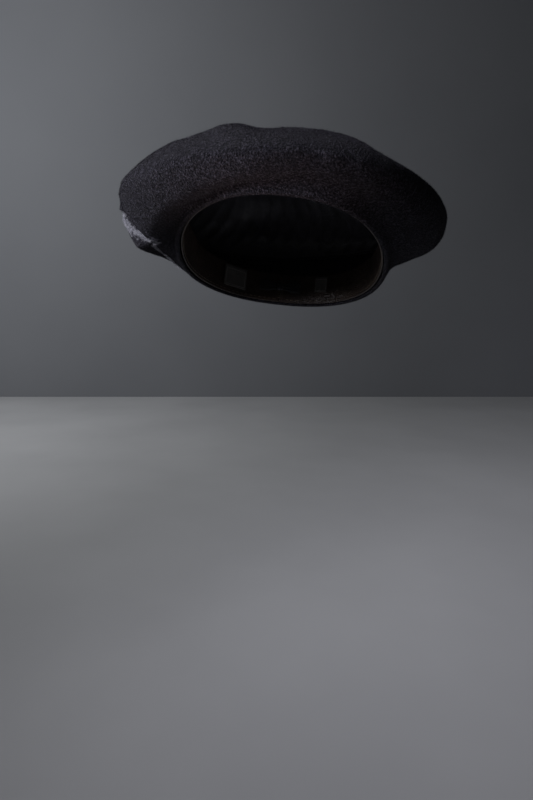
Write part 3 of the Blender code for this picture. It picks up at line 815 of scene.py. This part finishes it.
def make_lining():
    satin = satin_material()
    turns = np.linspace(0, 2 * math.pi, 360, endpoint=False)

    climbs = np.linspace(LINING_START, EQUATOR_CLIMB - SEAM_GAP, 44)
    t, c = np.meshgrid(turns, climbs)
    span = (c - climbs[0]) / (climbs[-1] - climbs[0])
    loose = np.sin(math.pi * span) ** 0.8
    depth = LINING_DEPTH + 1.7 * loose * gathers(t + 0.05 * np.sin(3 * span), 51, 46) * (0.35 + 0.65 * span)
    outer = crown_layer(t, c, depth)
    depth = depth + LINING_THICKNESS
    inner = crown_layer(t, c, depth)
    sections = np.concatenate([outer, inner[::-1]]).transpose(1, 0, 2)
    under = add_loft("lining_under_satin", sections, satin, closed=True)
    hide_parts("lining_under_panel")

    lower_climbs, upper_climbs = np.linspace(EQUATOR_CLIMB + SEAM_GAP, 8, 60), np.linspace(8, APEX_CLIMB, 16)
    climbs = np.concatenate([lower_climbs, upper_climbs[1:]])
    t, c = np.meshgrid(turns, climbs)
    near_seam = np.exp(-(c - climbs[0]) / 0.9)
    centre = smoothstep((APEX_CLIMB - c) / 1.2)
    start = np.minimum((c - climbs[0]) / 0.12, 1)
    slack = np.clip(waves(crown_surface(t, c), 52.0, 54) * 0.5 + 0.5, 0, 2)
    billow = 1.5 * slack * smoothstep((c - 4.2) / 1.2)
    creases = 1.0 * gathers(t + 0.06 * np.sin(c * 1.7), 53, 74) * near_seam
    creases += 0.8 * gathers(t + 0.10 * np.sin(c * 1.3), 55, 21) * smoothstep((8.2 - c) / 2.5)
    depth = lining_depth(c) + start * centre * (creases + billow)
    outer = crown_layer(t, c, depth)
    inner = crown_layer(t, c, depth + LINING_THICKNESS)
    outer[-1], inner[-1] = outer[-1].mean(axis=0), inner[-1].mean(axis=0)
    top = add_shell("lining_top_satin", outer, inner, satin)
    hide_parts("lining_top_panel")
    return satin


def make_piping(satin):
    """The covered cord in the seam between the lining's two panels."""
    turns = np.linspace(0, 2 * math.pi, 480, endpoint=False)
    depth = LINING_DEPTH + LINING_THICKNESS + PIPING_CLEAR + PIPING_RADIUS
    line = crown_layer(turns, np.full(turns.shape, float(EQUATOR_CLIMB)), np.full(turns.shape, depth - 1.0))
    ahead = unit(np.roll(line, -1, axis=0) - np.roll(line, 1, axis=0))
    side = unit(np.cross(ahead, (0.0, 0.0, 1.0)))
    up = np.cross(side, ahead)
    angles = np.linspace(0, 2 * math.pi, 10, endpoint=False)
    swell = PIPING_RADIUS * (1.35 + 0.10 * np.cos(turns * 150))
    spokes = [math.cos(a) * side + math.sin(a) * up for a in angles]
    sections = np.stack([line + swell[:, None] * spoke for spoke in spokes], axis=1)
    piping = add_loft("lining_piping", sections, satin, closed=True)
    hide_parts("lining_seam_piping")


def make_patch():
    """A blank woven disc sewn to the lining under the crown's centre, with a stitched edge."""
    turns = np.linspace(0, 2 * math.pi, 160, endpoint=False)
    climbs = np.linspace(PATCH_CLIMB, APEX_CLIMB, 30)
    t, c = np.meshgrid(turns, climbs)
    depth = lining_depth(c) + LINING_THICKNESS + PATCH_CLEAR
    out = (APEX_CLIMB - c) / (APEX_CLIMB - PATCH_CLIMB)
    puff = 0.45 * np.clip(1 - out ** 2, 0, 1) - 0.35 * np.exp(-((out - 0.88) / 0.04) ** 2)
    outer, inner = crown_layer(t, c, depth), crown_layer(t, c, depth + PATCH_THICKNESS + puff)
    outer[-1], inner[-1] = outer[-1].mean(axis=0), inner[-1].mean(axis=0)
    weave = tape_material("patch_weave", (0.17, 0.16, 0.145), (0.085, 0.080, 0.074), "Y")
    patch = add_shell("blank_woven_patch", outer, inner, weave)
    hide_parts("lining_patch")
    count = 60
    angle = np.linspace(0, 2 * math.pi, count, endpoint=False)
    climb = APEX_CLIMB - 0.88 * (APEX_CLIMB - PATCH_CLIMB)
    level = lining_depth(climb) + LINING_THICKNESS + PATCH_CLEAR + PATCH_THICKNESS + 0.05

    def around(a, extra):
        return crown_layer(a, np.full(a.shape, climb), np.full(a.shape, level + extra))

    inward = unit(around(angle, 1.0) - around(angle, 0.0))
    thread = cord_material("patch_thread", (0.02, 0.02, 0.024), (0.08, 0.08, 0.09), 1500.0)
    starts, stops = around(angle, 0.0), around(angle + 0.062, 0.0)
    add_stitches("patch_stitches", starts, stops, inward, 0.26, 0.42, thread, "thread")


def label_frame(turn, width):
    """Where a label hangs from: its hinge, and the directions down, across and inward."""
    stand_off = LABEL_CLEAR + width ** 2 / (8 * OPENING_HALF_WIDTH)
    hinge = band_point(turn, LABEL_HINGE_RISE, stand_off)
    down = unit(band_point(turn, 0.0, stand_off) - hinge)
    across = unit(band_point(turn + 0.05, LABEL_HINGE_RISE, stand_off) - hinge)
    inward = unit(np.cross(down, across))
    return hinge, down, across, inward if inward @ hinge < 0 else -inward


def make_labels():
    """Blank woven labels: hemmed, a little curled, sewn on along the top, with a woven border."""
    tape = tape_material("label_tape", (0.20, 0.19, 0.175), (0.10, 0.095, 0.088))
    sewing = bpy.data.materials["patch_thread"]
    border = plain_material("label_border_yarn", (0.36, 0.35, 0.33), 0.6, 0.3)
    for name, degrees, width, length in LABELS:
        hinge, down, across, inward = label_frame(math.radians(degrees), width)

        def face(u, v, lift):
            """A point of the label's front: u across from -1 to 1, v down from 0 to 1."""
            curl = 0.9 * v ** 2.2 + 0.35 * v * np.abs(u) ** 3 + 0.12 * np.sin(5 * u + 2 * v) * v
            past_hinge = smoothstep(v / 0.2)
            hem = 0.16 * smoothstep((v - 0.86) / 0.03)
            hem += 0.12 * smoothstep((np.abs(u) - 0.90) / 0.03) * past_hinge
            front = LABEL_THICKNESS * (0.4 + 0.6 * past_hinge)
            plane = hinge + down * (v * length)[..., None] + across * (u * width / 2)[..., None]
            return plane + inward * (front + curl + hem + lift)[..., None]

        v, u = np.meshgrid(np.linspace(0, 1, 40), np.linspace(-1, 1, 31), indexing="ij")
        sections = np.concatenate([face(u, v, 0.0), face(u, v, -0.42)[:, ::-1]], axis=1)
        label = add_loft(name + "_tape", sections, tape, body=name)
        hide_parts(name)

        def row(title, start, end, pitch, radius, material):
            """Stitches of an even pitch from one (u, v) of the face to another."""
            size = np.array([width / 2, length])
            count = int(np.linalg.norm((np.array(end) - start) * size) / pitch)
            part = np.arange(count) / count
            first = np.array(start) + (np.array(end) - start) * part[:, None]
            last = first + (np.array(end) - start) * 0.72 / count
            ends = [face(spot[:, 0], spot[:, 1], np.full(count, 0.02)) for spot in (first, last)]
            facing = np.tile(inward, (count, 1))
            piece = add_stitches(title, *ends, facing, radius, radius * 1.5, material, "thread")
            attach(piece, name)

        row(name + "_sewing", (-0.93, 0.07), (0.93, 0.07), 2.0, 0.20, sewing)
        corners = ((-0.86, 0.16), (0.86, 0.16), (0.86, 0.90), (-0.86, 0.90))
        for number, start in enumerate(corners):
            row(f"{name}_border_{number}", start, corners[(number + 1) % 4], 0.9, 0.16, border)


def bow_point(along, rise, inward):
    return band_point(math.pi + np.asarray(along, float) / OPENING_HALF_LENGTH, rise, inward)


def make_bow():
    """A flat ribbed ribbon bow over the joint: two loops pinched into a wrapped knot."""
    ribbon = ribbon_material()
    for name, side in (("back_bow_left_loop", 1), ("back_bow_right_loop", -1)):
        start, half = KNOT_HALF_WIDTH + 0.1, BOW_LOOP_LENGTH / 2
        angle = np.linspace(0, 2 * math.pi, 96, endpoint=False)[:, None]
        edge = np.concatenate([np.linspace(-1, 1, 15), np.linspace(1, -1, 15)])[None, :]
        skin = np.concatenate([np.full(15, -1.0), np.full(15, 1.0)])[None, :]
        outward = np.cos(angle)
        along = start + half * (1 + np.sign(outward) * np.abs(outward) ** 0.75)
        depth = BOW_LOOP_DEPTH * (0.40 + 0.60 * (1 + outward) / 2)
        middle = BOW_CLEAR + BOW_LOOP_DEPTH / 2 + depth / 2 * np.sin(angle)
        spread = smoothstep((along - start) / BOW_LOOP_LENGTH * 1.5)
        width = BOW_PINCHED_WIDTH + (BOW_WIDTH - BOW_PINCHED_WIDTH) * spread
        pleat = 0.55 * (1 - spread) * np.cos(edge * 7.0)
        shift = skin * BOW_RIBBON / 2 * (1 - 0.35 * (np.abs(edge) > 0.97))
        sections = bow_point(side * (along + shift * outward), BOW_RISE + edge * width / 2,
                             middle + shift * np.sin(angle) + pleat)
        loop = add_loft(name + "_ribbon", sections, ribbon, closed=True)
        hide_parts(name)
    part = np.linspace(-1, 1, 31)[:, None]
    angle = np.linspace(0, 2 * math.pi, 40, endpoint=False)[None, :]
    shrink = np.clip(1 - np.abs(part) ** 10, 0.5, 1) * (1 + 0.05 * np.cos(part * 9))
    rise = BOW_RISE + shrink * KNOT_HEIGHT / 2 * np.sign(np.cos(angle)) * np.abs(np.cos(angle)) ** 0.7
    depth = shrink * KNOT_DEPTH / 2 * np.sign(np.sin(angle)) * np.abs(np.sin(angle)) ** 0.7
    sections = bow_point(part * KNOT_HALF_WIDTH + 0 * angle, rise, BOW_CLEAR - 0.4 + KNOT_DEPTH / 2 + depth)
    knot = add_loft("back_bow_knot_ribbon", sections, ribbon)
    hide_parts("back_bow_knot")


# --- stage


def add_area_light(name, place, target, size, watts, colour, spread=180.0):
    light = bpy.data.lights.new(name, "AREA")
    light.spread = math.radians(spread)
    light.shape, light.size, light.energy, light.color = "DISK", size, watts, colour
    lamp = bpy.data.objects.new(name, light)
    lamp.location = place
    lamp.rotation_euler = (Vector(target) - Vector(place)).to_track_quat("-Z", "Y").to_euler()
    bpy.context.scene.collection.objects.link(lamp)


def add_stage_plane(name, near, far, material):
    """A plane right across the stage, from a near edge to a far one, each a (y, z) pair."""
    corners = [(x, *edge) for x, edge in ((-STAGE_REACH, near), (STAGE_REACH, near), (STAGE_REACH, far),
                                          (-STAGE_REACH, far))]
    plane = add_mesh(name, np.array(corners) / MM, [(0, 1, 2, 3)], material, body=None, smooth=False)


def make_stage():
    centre = [(a + b) / 2 for a, b in zip(*CAD_BOX)]
    n = Nodes("pale_floor")
    n.colour(n.ramp(n.noise(3.0, 4.0, 0.5), ((0.3, (0.50, 0.50, 0.51)), (0.7, (0.56, 0.56, 0.57)))))
    near, far = (-STAGE_REACH, FLOOR_LEVEL), (STAGE_REACH, FLOOR_LEVEL)
    add_stage_plane("floor", near, far, n.finish(0.8, 0.2))
    n = Nodes("grey_backdrop")
    n.colour(n.ramp(n.noise(1.5, 3.0, 0.5), ((0.3, (0.20, 0.205, 0.22)), (0.7, (0.22, 0.225, 0.24)))))
    foot, top = (BACKDROP_DISTANCE, FLOOR_LEVEL), (BACKDROP_DISTANCE, BACKDROP_TOP)
    add_stage_plane("backdrop", foot, top, n.finish(0.9, 0.1))
    add_area_light("key", (-1.03, -0.66, 0.43), centre, 0.50, 1.75, (0.97, 0.97, 1.06), 50.0)
    front_of_rim = (-0.025, -0.115, 0.02)
    add_area_light("low_fill", (-0.04, -0.22, -0.30), front_of_rim, 0.06, 0.016, (1.0, 0.76, 0.72), 30.0)
    add_area_light("backdrop_wash", (-1.6, 0.5, 1.1), (-0.6, 2.2, 0.5), 0.8, 24.0, (0.96, 0.98, 1.0))
    world = bpy.data.worlds.new("studio")
    bpy.context.scene.world = world
    world.use_nodes = True
    background = world.node_tree.nodes["Background"]
    background.inputs["Color"].default_value = (0.9, 0.94, 1.0, 1.0)
    background.inputs["Strength"].default_value = 0.03
    bpy.context.scene.view_settings.view_transform = "Standard"


def make_camera():
    camera = bpy.data.cameras.new("camera")
    camera.lens, camera.sensor_width = 24.0, 36.0
    viewer = bpy.data.objects.new("camera", camera)
    viewer.location = CAMERA_PLACE
    viewer.rotation_euler = (math.radians(90.0 - CAMERA_TILT_DOWN), 0.0, 0.0)
    bpy.context.scene.collection.objects.link(viewer)
    bpy.context.scene.camera = viewer


make_camera()
make_nap(*make_felt())
make_inlay()
make_stalk()
make_sweatband()
make_sweatband_stitches()
make_piping(make_lining())
make_patch()
make_labels()
make_bow()
make_stage()
